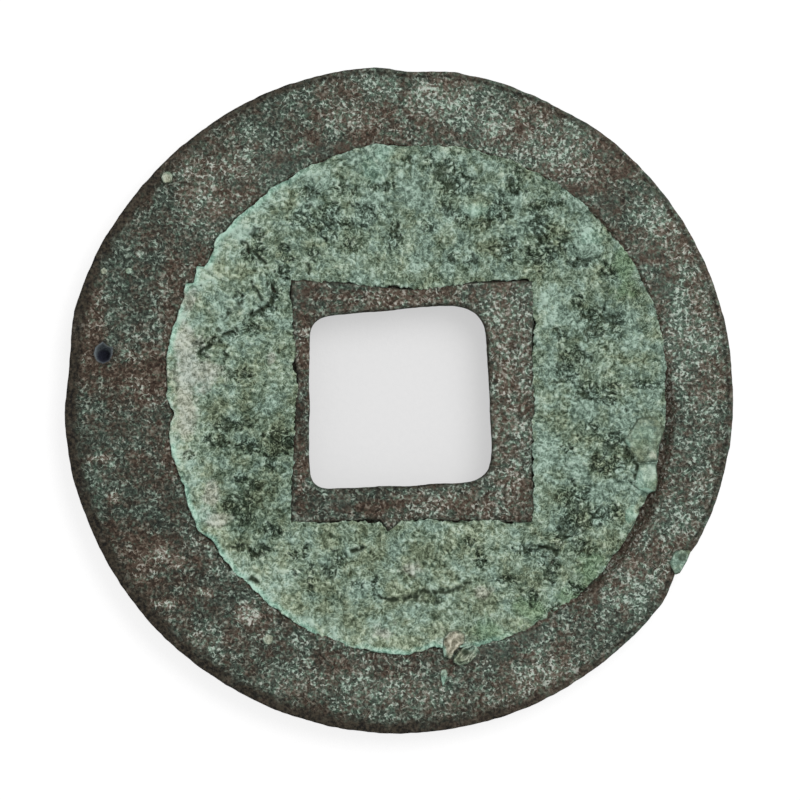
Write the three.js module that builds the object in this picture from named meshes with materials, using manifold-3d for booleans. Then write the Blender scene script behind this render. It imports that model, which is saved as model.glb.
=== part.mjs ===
// A cast bronze cash coin, lying with its plain reverse up, and the crusts of green corrosion on it.
// Sizes are millimetres and +Z is up. The origin is the middle of the coin, on the surface it lies on.
// +X is east and +Y is north, as the reverse is seen from above.

import * as THREE from "three";
import { mergeVertices } from "three/addons/utils/BufferGeometryUtils.js";
import Module from "manifold-3d";

const wasm = await Module();
wasm.setup();

// The blank: a disc, thickest at its broad outer rim, whose arrises are worn round
const COIN_DIAMETER = 24.5;
const RIM_THICKNESS = 1.35;
const ARRIS_RADIUS = 0.18;

// The sunk fields. The two mould halves didn't meet, so the reverse is cast to the east of the middle.
const REVERSE_RIM_WIDTH = 3.0;
const OBVERSE_RIM_WIDTH = 2.6;
const REVERSE_FIELD_DEPTH = 0.3;
const OBVERSE_FIELD_DEPTH = 0.28;
const FIELD_WALL_SLOPE = 0.12;
const REVERSE_FIELD_EAST = 0.7;
const REVERSE_FIELD_NORTH = 0.0;

// The square hole, filed out by hand: each corner strays from the true square and has its own rounding
const HOLE_SIDE = 6.5;
const HOLE_CORNERS = [
  { towards: [1, 1], east: -0.05, north: 0.31, radius: 1.3 },
  { towards: [-1, 1], east: 0.03, north: -0.23, radius: 0.75 },
  { towards: [-1, -1], east: 0.03, north: -0.06, radius: 0.85 },
  { towards: [1, -1], east: 0.21, north: 0.29, radius: 0.9 },
];

// The inner rims round the hole. Their sides draw in between flared corners.
const REVERSE_INNER_RIM_WIDTH = 1.28;
const OBVERSE_INNER_RIM_WIDTH = 0.6;
const INNER_RIM_WAIST = 0.2;
const INNER_RIM_CORNER_RADIUS = 0.25;
const INNER_RIM_DROP = 0.04;
const REVERSE_INNER_RIM_EAST = 0.53;
const REVERSE_INNER_RIM_SOUTH = 0.06;

// A blowhole that gas left in the west of the reverse rim
const BLOWHOLE_RADIUS = 0.24;
const BLOWHOLE_DEPTH = 0.4;
const BLOWHOLE_INSET = 1.27;
const BLOWHOLE_BEARING = 171;

// The crusts of corrosion that fill the fields, up to a little below the rims. They thin at their edges.
const REVERSE_CRUST_BELOW_RIM = 0.06;
const OBVERSE_CRUST_BELOW_RIM = 0.1;
const CRUST_EDGE_DROP = 0.09;
const CRUST_GAP = 0.05;
const LUMP_HEIGHT = 0.03;
const LUMP_PITCH = 1.7;

// How a nodule's side rises, from its foot in: its share of the outline and of the height at each level.
// A burst nodule is a shell with a hollow top.
const DOME = [
  { share: 1, rise: 0 },
  { share: 0.97, rise: 0.5 },
  { share: 0.82, rise: 0.86 },
  { share: 0.45, rise: 1 },
  { share: 0, rise: 1 },
];
const BURST = [
  { share: 1, rise: 0 },
  { share: 0.96, rise: 0.6 },
  { share: 0.8, rise: 1 },
  { share: 0.62, rise: 0.85 },
  { share: 0.35, rise: 0.45 },
  { share: 0, rise: 0.4 },
];

// The nodules of corrosion on the reverse. A nodule in the field stands on its floor, up through the
// crust. The others rest on the rim, and those on its shoulder keep to the field's wall.
// A nodule's place is a bearing anticlockwise from east and how far in it lies: from the crust's edge in
// the field, from the top of the field's wall on the shoulder, and from the coin's edge on the rim.
// Its outline is its radius at equal steps anticlockwise from east.
const NODULES = [
  {
    name: "east_flake",
    seat: "field",
    profile: DOME,
    bearing: 349.3,
    inset: 0.7,
    height: 0.42,
    radii: [0.52, 0.72, 0.76, 0.66, 0.8, 0.72, 0.66, 0.6],
  },
  {
    name: "east_flake_foot",
    seat: "field",
    profile: DOME,
    bearing: 340.9,
    inset: 0.55,
    height: 0.38,
    radii: [0.38, 0.5, 0.46, 0.44, 0.34, 0.56, 0.48, 0.42],
  },
  {
    name: "east_flake_tail",
    seat: "field",
    profile: DOME,
    bearing: 331.6,
    inset: 0.48,
    height: 0.34,
    radii: [0.24, 0.42, 0.38, 0.24, 0.25, 0.34, 0.46, 0.26],
  },
  {
    name: "south_nodule_pale",
    seat: "shoulder",
    profile: DOME,
    bearing: 278.5,
    inset: 0.18,
    height: 0.2,
    radii: [0.32, 0.38, 0.4, 0.34, 0.3, 0.36, 0.36, 0.3],
  },
  {
    name: "south_nodule_shell",
    seat: "shoulder",
    profile: BURST,
    bearing: 280.9,
    inset: -0.42,
    height: 0.22,
    radii: [0.5, 0.38, 0.28, 0.28, 0.3, 0.34, 0.36, 0.4],
  },
  {
    name: "south_droplet",
    seat: "shoulder",
    profile: DOME,
    bearing: 275.7,
    inset: -0.88,
    height: 0.1,
    radii: [0.12, 0.13, 0.15, 0.13, 0.12, 0.14, 0.26, 0.14],
  },
  {
    name: "edge_crust",
    seat: "rim",
    profile: DOME,
    bearing: 330.3,
    inset: 0.55,
    height: 0.1,
    radii: [0.42, 0.46, 0.4, 0.38, 0.4, 0.36, 0.42, 0.38],
  },
  {
    name: "northwest_wart",
    seat: "rim",
    profile: DOME,
    bearing: 136.2,
    inset: 0.52,
    height: 0.16,
    radii: [0.21, 0.22, 0.21, 0.2, 0.21, 0.22, 0.21, 0.2],
  },
  {
    name: "west_wart_outer",
    seat: "rim",
    profile: DOME,
    bearing: 156.4,
    inset: 0.48,
    height: 0.09,
    radii: [0.11, 0.12, 0.14, 0.12, 0.11, 0.12, 0.14, 0.12],
  },
  {
    name: "west_wart_inner",
    seat: "rim",
    profile: DOME,
    bearing: 154.3,
    inset: 1.28,
    height: 0.09,
    radii: [0.13, 0.15, 0.12, 0.12, 0.13, 0.14, 0.12, 0.13],
  },
  {
    name: "southwest_wart",
    seat: "rim",
    profile: DOME,
    bearing: 241.3,
    inset: 2.32,
    height: 0.12,
    radii: [0.22, 0.2, 0.24, 0.2, 0.19, 0.22, 0.24, 0.2],
  },
];

// How finely the round and the lumpy shapes are faceted
const ROUND_STEPS = 144;
const SIDE_STEPS = 36;
const CORNER_STEPS = 8;
const ARRIS_STEPS = 3;
const CRUST_RINGS = 8;
const NODULE_SIDES = 32;
const CUT_PAST = 1;

// Worked out from the sizes above
const coinRadius = COIN_DIAMETER / 2;
const reverseFieldRadius = coinRadius - REVERSE_RIM_WIDTH;
const obverseFieldRadius = coinRadius - OBVERSE_RIM_WIDTH;
const reverseFloor = RIM_THICKNESS - REVERSE_FIELD_DEPTH;
const crustRadius = (fieldRadius) => fieldRadius - FIELD_WALL_SLOPE - CRUST_GAP;
const reverseFieldCentre = new THREE.Vector2(REVERSE_FIELD_EAST, REVERSE_FIELD_NORTH);
const reverseInnerRimCentre = new THREE.Vector2(REVERSE_INNER_RIM_EAST, -REVERSE_INNER_RIM_SOUTH);
const middle = new THREE.Vector2(0, 0);
const seats = {
  field: { centre: reverseFieldCentre, edge: crustRadius(reverseFieldRadius), height: reverseFloor },
  shoulder: { centre: reverseFieldCentre, edge: reverseFieldRadius, height: RIM_THICKNESS },
  rim: { centre: middle, edge: coinRadius, height: RIM_THICKNESS },
};

const bronze = new THREE.MeshStandardMaterial({ color: 0x4a4038, roughness: 0.6, metalness: 0.6 });
const verdigris = new THREE.MeshStandardMaterial({ color: 0x728672, roughness: 0.95, metalness: 0 });
const paleCrust = new THREE.MeshStandardMaterial({ color: 0x9db3a0, roughness: 0.95, metalness: 0 });

// A closed three.js geometry as a solid that can be cut and joined.
function solidOf(geometry) {
  const bare = geometry.index ? geometry.toNonIndexed() : geometry.clone();
  bare.deleteAttribute("normal");
  bare.deleteAttribute("uv");
  const merged = mergeVertices(bare, 1e-4);
  return new wasm.Manifold(
    new wasm.Mesh({
      numProp: 3,
      vertProperties: new Float32Array(merged.attributes.position.array),
      triVerts: new Uint32Array(merged.index.array),
    }),
  );
}

// A solid back as a three.js geometry.
function geometryOf(solid) {
  const mesh = solid.getMesh();
  const places = new Float32Array(mesh.numVert * 3);
  for (let i = 0; i < mesh.numVert; i++) {
    const start = i * mesh.numProp;
    places.set(mesh.vertProperties.subarray(start, start + 3), i * 3);
  }
  const geometry = new THREE.BufferGeometry();
  geometry.setAttribute("position", new THREE.BufferAttribute(places, 3));
  geometry.setIndex(new THREE.BufferAttribute(new Uint32Array(mesh.triVerts), 1));
  geometry.computeVertexNormals();
  return geometry;
}

// A round solid from its profile of [radius, height] points, which starts and ends on the axis.
function turned(profile, centre = middle) {
  const points = profile.map(([radius, height]) => new THREE.Vector2(radius, height));
  const geometry = new THREE.LatheGeometry(points, ROUND_STEPS);
  geometry.rotateX(Math.PI / 2);
  geometry.translate(centre.x, centre.y, 0);
  return solidOf(geometry);
}

// An upright prism of an outline, between two heights.
function prism(outline, bottom, top) {
  const shape = new THREE.Shape(outline);
  const geometry = new THREE.ExtrudeGeometry(shape, { depth: top - bottom, bevelEnabled: false });
  geometry.translate(0, 0, bottom);
  return solidOf(geometry);
}

// Points along a polygon's outline with each corner rounded to its own radius, starting on its first side.
function roundedOutline(corners) {
  const outline = [];
  corners.forEach((corner, i) => {
    const before = corners[(i + corners.length - 1) % corners.length].at;
    const after = corners[(i + 1) % corners.length].at;
    const back = before.clone().sub(corner.at).normalize();
    const on = after.clone().sub(corner.at).normalize();
    const halfAngle = Math.acos(back.dot(on)) / 2;
    const reach = corner.radius / Math.tan(halfAngle);
    const bisector = back.clone().add(on).normalize();
    const centre = bisector.multiplyScalar(corner.radius / Math.sin(halfAngle)).add(corner.at);
    const from = back.multiplyScalar(reach).add(corner.at).sub(centre).angle();
    let to = on.multiplyScalar(reach).add(corner.at).sub(centre).angle();
    if (to < from) to += 2 * Math.PI;
    for (let step = 0; step <= CORNER_STEPS; step++) {
      const angle = from + ((to - from) * step) / CORNER_STEPS;
      outline.push(
        new THREE.Vector2(Math.cos(angle), Math.sin(angle)).multiplyScalar(corner.radius).add(centre),
      );
    }
  });
  return outline;
}

// The hand-filed hole.
function holeOutline() {
  const half = HOLE_SIDE / 2;
  return roundedOutline(
    HOLE_CORNERS.map(({ towards, east, north, radius }) => ({
      at: new THREE.Vector2(towards[0] * half + east, towards[1] * half + north),
      radius,
    })),
  );
}

// An inner rim's outline: a square whose sides draw in by the waist, then turn round small corners.
// A gap moves the whole outline outwards.
function innerRimOutline(rimWidth, centre, gap = 0) {
  const half = HOLE_SIDE / 2 + rimWidth + gap;
  const corner = INNER_RIM_CORNER_RADIUS;
  const run = half - corner;
  const outline = [];
  for (let side = 0; side < 4; side++) {
    const turn = (side * Math.PI) / 2;
    for (let step = 0; step < SIDE_STEPS; step++) {
      const along = -run + (2 * run * step) / SIDE_STEPS;
      const drawnIn = INNER_RIM_WAIST * (1 - (along / run) ** 2);
      outline.push(new THREE.Vector2(half - drawnIn, along).rotateAround(middle, turn));
    }
    for (let step = 0; step < CORNER_STEPS; step++) {
      const angle = ((Math.PI / 2) * step) / CORNER_STEPS;
      const point = new THREE.Vector2(run + corner * Math.cos(angle), run + corner * Math.sin(angle));
      outline.push(point.rotateAround(middle, turn));
    }
  }
  return outline.map((point) => point.add(centre));
}

// A point at a bearing from a centre, in degrees anticlockwise from east.
function atBearing(centre, bearing, distance) {
  const angle = THREE.MathUtils.degToRad(bearing);
  return new THREE.Vector2(Math.cos(angle), Math.sin(angle)).multiplyScalar(distance).add(centre);
}

// What is taken out of the blank to sink a field: a shallow dish with sloping walls, less the inner rim.
function fieldCut(radius, centre, depth, rimWidth, innerRimCentre) {
  const dish = turned(
    [
      [0, 0],
      [radius - FIELD_WALL_SLOPE, 0],
      [radius, depth],
      [radius, depth + CUT_PAST],
      [0, depth + CUT_PAST],
    ],
    centre,
  );
  const rimHeight = depth - INNER_RIM_DROP;
  return dish.subtract(prism(innerRimOutline(rimWidth, innerRimCentre), -CUT_PAST, rimHeight));
}

// The disc with its arrises rounded.
function blank() {
  const profile = [[0, 0]];
  for (const [sign, height] of [
    [-1, ARRIS_RADIUS],
    [1, RIM_THICKNESS - ARRIS_RADIUS],
  ]) {
    for (let step = 0; step <= ARRIS_STEPS; step++) {
      const share = sign < 0 ? step / ARRIS_STEPS : 1 - step / ARRIS_STEPS;
      const angle = (share * Math.PI) / 2;
      profile.push([
        coinRadius - ARRIS_RADIUS + ARRIS_RADIUS * Math.sin(angle),
        height + sign * ARRIS_RADIUS * Math.cos(angle),
      ]);
    }
  }
  profile.push([0, RIM_THICKNESS]);
  return turned(profile);
}

// The whole bronze body, cast in one pour.
function casting() {
  const reverseCut = fieldCut(
    reverseFieldRadius,
    reverseFieldCentre,
    REVERSE_FIELD_DEPTH,
    REVERSE_INNER_RIM_WIDTH,
    reverseInnerRimCentre,
  ).translate([0, 0, reverseFloor]);
  const obverseCut = fieldCut(
    obverseFieldRadius,
    middle,
    OBVERSE_FIELD_DEPTH,
    OBVERSE_INNER_RIM_WIDTH,
    middle,
  )
    .rotate([180, 0, 0])
    .translate([0, 0, OBVERSE_FIELD_DEPTH]);
  const hole = prism(holeOutline(), -CUT_PAST, RIM_THICKNESS + CUT_PAST);
  const blowhole = turned(
    [
      [0, RIM_THICKNESS - BLOWHOLE_DEPTH],
      [BLOWHOLE_RADIUS / 2, RIM_THICKNESS - BLOWHOLE_DEPTH],
      [BLOWHOLE_RADIUS, RIM_THICKNESS + CUT_PAST],
      [0, RIM_THICKNESS + CUT_PAST],
    ],
    atBearing(middle, BLOWHOLE_BEARING, coinRadius - BLOWHOLE_INSET),
  );
  return [reverseCut, obverseCut, hole, blowhole].reduce((body, cut) => body.subtract(cut), blank());
}

// The rise and fall of a crust's surface, from -1 to 1.
function lump(x, y) {
  const turn = (2 * Math.PI) / LUMP_PITCH;
  const broad = Math.sin(turn * (0.8 * x + 0.3 * y)) * Math.sin(turn * (0.7 * y - 0.4 * x) + 1);
  const fine = Math.sin(turn * (1.3 * x - 0.9 * y) + 2) * Math.sin(turn * (1.1 * y + 0.6 * x));
  return 0.6 * broad + 0.4 * fine;
}

// A crust that fills a field from the inner rim out to the field's wall. Its bottom is flat at height 0,
// and its lumpy top thins towards both edges.
function crust(radius, centre, rimWidth, innerRimCentre, thickness) {
  const inner = innerRimOutline(rimWidth, innerRimCentre, CRUST_GAP);
  const outer = inner.map((point) => {
    const outward = point.clone().sub(centre).normalize();
    return outward.multiplyScalar(crustRadius(radius)).add(centre);
  });
  const places = [];
  for (const outline of [inner, outer]) {
    for (const point of outline) places.push(point.x, point.y, 0);
  }
  for (let ring = 0; ring <= CRUST_RINGS; ring++) {
    const across = ring / CRUST_RINGS;
    const onEdge = ring === 0 || ring === CRUST_RINGS;
    inner.forEach((point, i) => {
      const { x, y } = point.clone().lerp(outer[i], across);
      const height = onEdge ? thickness - CRUST_EDGE_DROP : thickness + LUMP_HEIGHT * lump(x, y);
      places.push(x, y, height);
    });
  }
  const count = inner.length;
  const faces = [];
  const strip = (low, high) => {
    for (let i = 0; i < count; i++) {
      const next = (i + 1) % count;
      const [a, b] = [low * count + i, low * count + next];
      const [c, d] = [high * count + i, high * count + next];
      faces.push(a, c, b, b, c, d);
    }
  };
  const [innerFoot, outerFoot, firstRing] = [0, 1, 2];
  const lastRing = firstRing + CRUST_RINGS;
  strip(outerFoot, innerFoot);
  strip(innerFoot, firstRing);
  for (let ring = firstRing; ring < lastRing; ring++) strip(ring, ring + 1);
  strip(lastRing, outerFoot);
  const geometry = new THREE.BufferGeometry();
  geometry.setAttribute("position", new THREE.Float32BufferAttribute(places, 3));
  geometry.setIndex(faces);
  return solidOf(geometry);
}

// A nodule's outline round its own centre. A gap makes it that much larger all round.
function noduleOutline(radii, gap = 0) {
  const knots = radii.map((radius, i) => {
    const point = atBearing(middle, (360 * i) / radii.length, radius + gap);
    return new THREE.Vector3(point.x, point.y, 0);
  });
  const loop = new THREE.CatmullRomCurve3(knots, true).getPoints(NODULE_SIDES);
  return loop.slice(0, -1).map((point) => new THREE.Vector2(point.x, point.y));
}

// A nodule over its outline, standing on height 0. The last level of its profile is its crown.
function nodule({ radii, height, profile }) {
  const outline = noduleOutline(radii);
  const count = outline.length;
  const levels = profile.slice(0, -1);
  const places = [];
  for (const { share, rise } of levels) {
    for (const point of outline) places.push(point.x * share, point.y * share, height * rise);
  }
  const foot = places.length / 3;
  const crown = foot + 1;
  places.push(0, 0, 0);
  places.push(0, 0, height * profile.at(-1).rise);
  const faces = [];
  for (let i = 0; i < count; i++) {
    const next = (i + 1) % count;
    faces.push(foot, next, i);
    for (let level = 0; level < levels.length - 1; level++) {
      const [low, high] = [level * count, (level + 1) * count];
      faces.push(low + i, low + next, high + i, low + next, high + next, high + i);
    }
    const last = (levels.length - 1) * count;
    faces.push(crown, last + i, last + next);
  }
  const geometry = new THREE.BufferGeometry();
  geometry.setAttribute("position", new THREE.Float32BufferAttribute(places, 3));
  geometry.setIndex(faces);
  return solidOf(geometry);
}

// Where a nodule stands on the reverse.
function nodulePlace({ seat, bearing, inset }) {
  const { centre, edge, height } = seats[seat];
  const { x, y } = atBearing(centre, bearing, edge - inset);
  return [x, y, height];
}

// The reverse crust, with a place left in it for each nodule that grew in the field or over its wall.
function reverseCrust() {
  const whole = crust(
    reverseFieldRadius,
    reverseFieldCentre,
    REVERSE_INNER_RIM_WIDTH,
    reverseInnerRimCentre,
    REVERSE_FIELD_DEPTH - REVERSE_CRUST_BELOW_RIM,
  );
  const inTheWay = NODULES.filter(({ seat }) => seat !== "rim");
  return inTheWay.reduce((left, item) => {
    const [x, y] = nodulePlace(item);
    const outline = noduleOutline(item.radii, CRUST_GAP);
    return left.subtract(prism(outline, -CUT_PAST, CUT_PAST).translate([x, y, 0]));
  }, whole);
}

// The obverse crust, modelled with its top up. It is turned over onto its field when it is placed.
function obverseCrust() {
  return crust(
    obverseFieldRadius,
    middle,
    OBVERSE_INNER_RIM_WIDTH,
    middle,
    OBVERSE_FIELD_DEPTH - OBVERSE_CRUST_BELOW_RIM,
  );
}

const coin = new THREE.Group();

// Adds a solid to the coin as a named mesh, at a place.
function add(name, solid, material, [x, y, z] = [0, 0, 0]) {
  const mesh = new THREE.Mesh(geometryOf(solid), material);
  mesh.name = name;
  mesh.position.set(x, y, z);
  coin.add(mesh);
  return mesh;
}

add("casting", casting(), bronze);
add("reverse_field_crust", reverseCrust(), verdigris, [0, 0, reverseFloor]);
const underside = add("obverse_field_crust", obverseCrust(), verdigris, [0, 0, OBVERSE_FIELD_DEPTH]);
underside.rotation.x = Math.PI;
for (const item of NODULES) add(item.name, nodule(item), paleCrust, nodulePlace(item));

export default coin;
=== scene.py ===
# %% [markdown]
# # A cast bronze cash coin
#
# The coin lies flat with its plain reverse up, under a soft light from the upper right, and the camera
# looks straight down on it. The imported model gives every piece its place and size. This script gives them
# the worn, crumbly surfaces and the colours of bronze that has been in the ground for centuries.

# %% Load the frame
import math

import bmesh
import bpy
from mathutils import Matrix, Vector, kdtree, noise


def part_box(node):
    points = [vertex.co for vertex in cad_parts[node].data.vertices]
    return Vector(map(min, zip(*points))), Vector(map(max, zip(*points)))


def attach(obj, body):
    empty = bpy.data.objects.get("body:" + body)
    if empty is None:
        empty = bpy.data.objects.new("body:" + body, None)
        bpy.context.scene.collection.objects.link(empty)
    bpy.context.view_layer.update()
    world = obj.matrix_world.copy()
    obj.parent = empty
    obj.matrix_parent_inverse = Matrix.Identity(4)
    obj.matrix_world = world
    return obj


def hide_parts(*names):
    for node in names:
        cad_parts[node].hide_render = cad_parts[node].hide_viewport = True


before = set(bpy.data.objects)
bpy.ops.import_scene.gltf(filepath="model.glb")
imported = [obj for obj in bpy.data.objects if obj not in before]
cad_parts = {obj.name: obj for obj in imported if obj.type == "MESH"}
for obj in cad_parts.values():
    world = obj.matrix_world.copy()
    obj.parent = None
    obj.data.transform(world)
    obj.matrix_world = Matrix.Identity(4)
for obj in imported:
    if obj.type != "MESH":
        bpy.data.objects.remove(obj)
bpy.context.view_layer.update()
print("pieces in the frame:", sorted(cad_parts))

# %% [markdown]
# ## Sizes
#
# Blender works in metres, and a coin is easier to think about in millimetres. So each mesh here is made in
# millimetres and is brought down to metres as its last step. The main sizes are read from the frame, which
# means that they always agree with it.

# %% Sizes of the coin, in millimetres
MM = 0.001
coin_low, coin_high = (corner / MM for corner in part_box("casting"))
crust_low, crust_high = (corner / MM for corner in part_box("reverse_field_crust"))
COIN_RADIUS = (coin_high.x - coin_low.x) / 2
RIM_TOP = coin_high.z
FIELD_FLOOR = crust_low.z
FIELD_CENTRE = ((crust_low.x + crust_high.x) / 2, (crust_low.y + crust_high.y) / 2)
print(f"coin: {2 * COIN_RADIUS:.2f} mm across, {RIM_TOP:.2f} mm thick")
print(f"reverse field: {RIM_TOP - FIELD_FLOOR:.2f} mm deep")

# %% [markdown]
# ## Places and soft steps
#
# Cracks, pits and patches are placed where the photograph shows them. `spot` turns a place in the
# photograph, in its pixels, into millimetres from the middle of the coin. `soft` is the smooth step that
# fades one thing into another, and `dab` is a soft oval patch made from it.

# %% Places in the photograph, and soft steps
PHOTO_SIZE = 800
PHOTO_COIN_CENTRE = (397.7, 399.8)
PHOTO_COIN_RADIUS = 334.1
PIXELS_PER_MM = PHOTO_COIN_RADIUS / COIN_RADIUS


def spot(across, down, height=RIM_TOP):
    middle_across, middle_down = PHOTO_COIN_CENTRE
    return Vector(((across - middle_across) / PIXELS_PER_MM, (middle_down - down) / PIXELS_PER_MM, height))


def soft(value, low, high):
    """0 below low, 1 above high and a smooth ramp between. Low may be the greater of the two."""
    share = min(max((value - low) / (high - low), 0.0), 1.0)
    return share * share * (3 - 2 * share)


def dab(place, patch):
    """How much of a soft oval patch lies on a place. A patch is its middle and half sizes in pixels."""
    across, down, half_width, half_height = patch
    offset = place - spot(across, down)
    reach = math.hypot(offset.x / half_width, offset.y / half_height) * PIXELS_PER_MM
    return soft(reach, 1.0, 0.35)


def turned(bearing, degrees):
    """The angle in degrees between a bearing in radians and one in degrees, from 0 to 180."""
    return abs((math.degrees(bearing) - degrees + 180) % 360 - 180)


# %% [markdown]
# ## Outlines
#
# Seen from above, the coin is a set of closed lines: the hole, the inner rim, the edge of the field and the
# edge of the coin. Each is a centre and a reach, the distance from that centre at each bearing. A caster's
# square is never a true square, and a file rounds it further, so the hole is a blend of its four sides that
# is sharper in some corners than in others. The inner rim's sides bow in and its corners draw out, as they
# do where a pattern for the mould was cut by hand. The edge of the field and the edge of the coin are drawn
# through marks that were read off the photograph, and small outlines are traced through their corners
# there.

# %% Outlines of the coin


class Outline:
    """A closed line round a centre: how far out it runs at each bearing, in millimetres."""

    def __init__(self, centre, size, reach):
        self.centre = Vector(centre)
        self.size = size
        self.reach = reach

    def point(self, bearing, outside=0.0, height=0.0):
        out = self.reach(bearing) * (1 + outside / self.size)
        across, up = out * math.cos(bearing), out * math.sin(bearing)
        return Vector((self.centre.x + across, self.centre.y + up, height))

    def beyond(self, place):
        """How far outside the line a place is. It is below zero inside the line."""
        offset = place.xy - self.centre
        return (offset.length / self.reach(math.atan2(offset.y, offset.x)) - 1) * self.size


def wander(bearing, radius, pitch, height):
    """A ragged line's way in and out, at a bearing on a circle of a radius."""
    place = Vector((math.cos(bearing), math.sin(bearing), radius)) * radius / pitch
    return noise.noise(place) * height


def ragged(bearing, radius, pairs):
    """The sum of several ways in and out. Each is a pitch and a height in millimetres."""
    return sum(wander(bearing, radius, pitch, height) for pitch, height in pairs)


def traced(*corners):
    """A closed line of straight sides, drawn through corners in the photograph's pixels."""
    places = [spot(across, down, 0) for across, down in corners]
    centre = sum(places, Vector((0, 0, 0))) / len(places)
    offsets = [place - centre for place in places]
    marks = sorted((math.atan2(offset.y, offset.x), offset.length) for offset in offsets)
    marks.append((marks[0][0] + math.tau, marks[0][1]))

    def reach(bearing):
        bearing = (bearing - marks[0][0]) % math.tau + marks[0][0]
        for (start, near), (end, far) in zip(marks, marks[1:]):
            if bearing <= end:
                across = near * math.sin(bearing - start) + far * math.sin(end - bearing)
                return near * far * math.sin(end - start) / across

    return Outline(centre.xy, sum(length for _, length in marks) / len(marks), reach)


def rounded(across, down, half_size):
    """A round line with a slightly uneven edge."""
    size = half_size / PIXELS_PER_MM
    centre = spot(across, down).xy
    return Outline(centre, size, lambda bearing: size * (1 + wander(bearing + centre.x, 1.0, 0.8, 0.3)))


HOLE_SIZE = 3.25
HOLE_SIDES = ((2.3, 3.34), (94.8, 3.28), (180.0, 3.22), (273.0, 3.14))
HOLE_SHARPNESS = (5.5, 9.9, 8.8, 8.3)
INNER_RIM_SIZE = 4.53
INNER_RIM_CENTRE = (0.53, -0.06)
INNER_RIM_WAIST = 0.2
INNER_RIM_CORNER = 0.1
INNER_RIM_CORNER_SPREAD = math.radians(2.3)
INNER_RIM_BUMPS = (
    (0.0, 44.0, 0.18), (90.0, 38.0, -0.17), (172.0, 28.0, -0.1), (259.9, 5.5, 0.36), (262.0, 14.0, 0.1),
)
FIELD_RADIUS = 9.25
FIELD_MARKS = (
    (0, 9.1), (8, 9.25), (20, 9.43), (35, 9.5), (50, 9.45), (66, 9.42), (80, 9.4), (88, 9.32), (100, 9.44),
    (120, 9.4), (140, 9.38), (147.8, 9.18), (148.8, 9.42), (152.4, 9.22), (153.4, 9.46), (157, 9.28),
    (170, 9.3), (178, 9.2), (183.5, 9.02), (189, 9.18), (200, 9.13), (210, 9.3), (215, 9.14), (221, 9.23),
    (228, 9.16), (240, 9.3), (250, 9.35), (266, 9.36), (274, 9.16), (284, 9.32), (300, 9.37), (308, 9.34),
    (320, 9.25), (330, 9.17), (345, 9.12), (360, 9.1),
)
COIN_MARKS = (
    (0, 12.34), (20, 12.37), (50, 12.37), (62, 12.26), (80, 12.23), (88, 12.08), (95, 12.26), (148, 12.26),
    (152, 12.33), (164, 12.32), (175, 12.14), (185, 12.28), (200, 12.25), (322, 12.26), (329.5, 12.03),
    (335, 12.22), (345, 12.3), (360, 12.34),
)
COIN_WANDER = ((2.4, 0.03), (0.6, 0.012))
SCOOP_BEARING = -22
SCOOP_DEPTH = 0.42


def hole_reach(bearing):
    sharpness = HOLE_SHARPNESS[int(math.degrees(bearing) % 360 // 90)]
    total = 0.0
    for side, distance in HOLE_SIDES:
        total += max(math.cos(bearing - math.radians(side)) / distance, 0.0) ** sharpness
    return total ** (-1 / sharpness) + wander(bearing, HOLE_SIZE, 0.9, 0.05)


def inner_rim_reach(bearing):
    from_side = (bearing + math.pi / 4) % (math.pi / 2) - math.pi / 4
    half = INNER_RIM_SIZE - INNER_RIM_WAIST * (1 - math.tan(from_side) ** 2)
    corner = (abs(from_side) - math.pi / 4) / INNER_RIM_CORNER_SPREAD
    rounding = INNER_RIM_CORNER * math.exp(-(corner**2))
    bumps = sum(height * soft(turned(bearing, middle), width, 0) for middle, width, height in INNER_RIM_BUMPS)
    return half / math.cos(from_side) - rounding + bumps + wander(bearing, INNER_RIM_SIZE, 1.1, 0.07)


def along(marks, bearing):
    """A line's distance from its centre, between marks that are each a bearing in degrees and a distance."""
    degrees = math.degrees(bearing) % 360
    for (start, near), (end, far) in zip(marks, marks[1:]):
        if degrees <= end:
            return near + (far - near) * soft(degrees, start, end)


def field_reach(bearing):
    scoop = SCOOP_DEPTH * soft(turned(bearing, SCOOP_BEARING), 36, 18)
    return along(FIELD_MARKS, bearing) - 0.03 + scoop + wander(bearing, FIELD_RADIUS, 1.4, 0.06)


def coin_reach(bearing):
    return along(COIN_MARKS, bearing) + ragged(bearing, COIN_RADIUS, COIN_WANDER)


HOLE = Outline((0, 0), HOLE_SIZE, hole_reach)
INNER_RIM = Outline(INNER_RIM_CENTRE, INNER_RIM_SIZE, inner_rim_reach)
FIELD = Outline(FIELD_CENTRE, FIELD_RADIUS, field_reach)
COIN = Outline((0, 0), COIN_RADIUS, coin_reach)
print(f"hole: {hole_reach(0) + hole_reach(math.pi):.2f} mm wide")
print(f"inner rim: {inner_rim_reach(0) + inner_rim_reach(math.pi):.2f} mm wide")

# %% [markdown]
# ## A ring that grows loop by loop
#
# A coin with a hole is a ring, and so is each crust that fills a field round the hole. A ring could be
# turned with `spin`, but its outlines aren't circles. So `Ring` starts with one circle of points laid on an
# outline. It extrudes that loop, lays the new loop on the next outline, and goes on round the whole section
# until the last loop is bridged to the first. Only then are the long faces between the loops subdivided,
# fine enough for the relief to be carved into them.

# %% The ring


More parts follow.
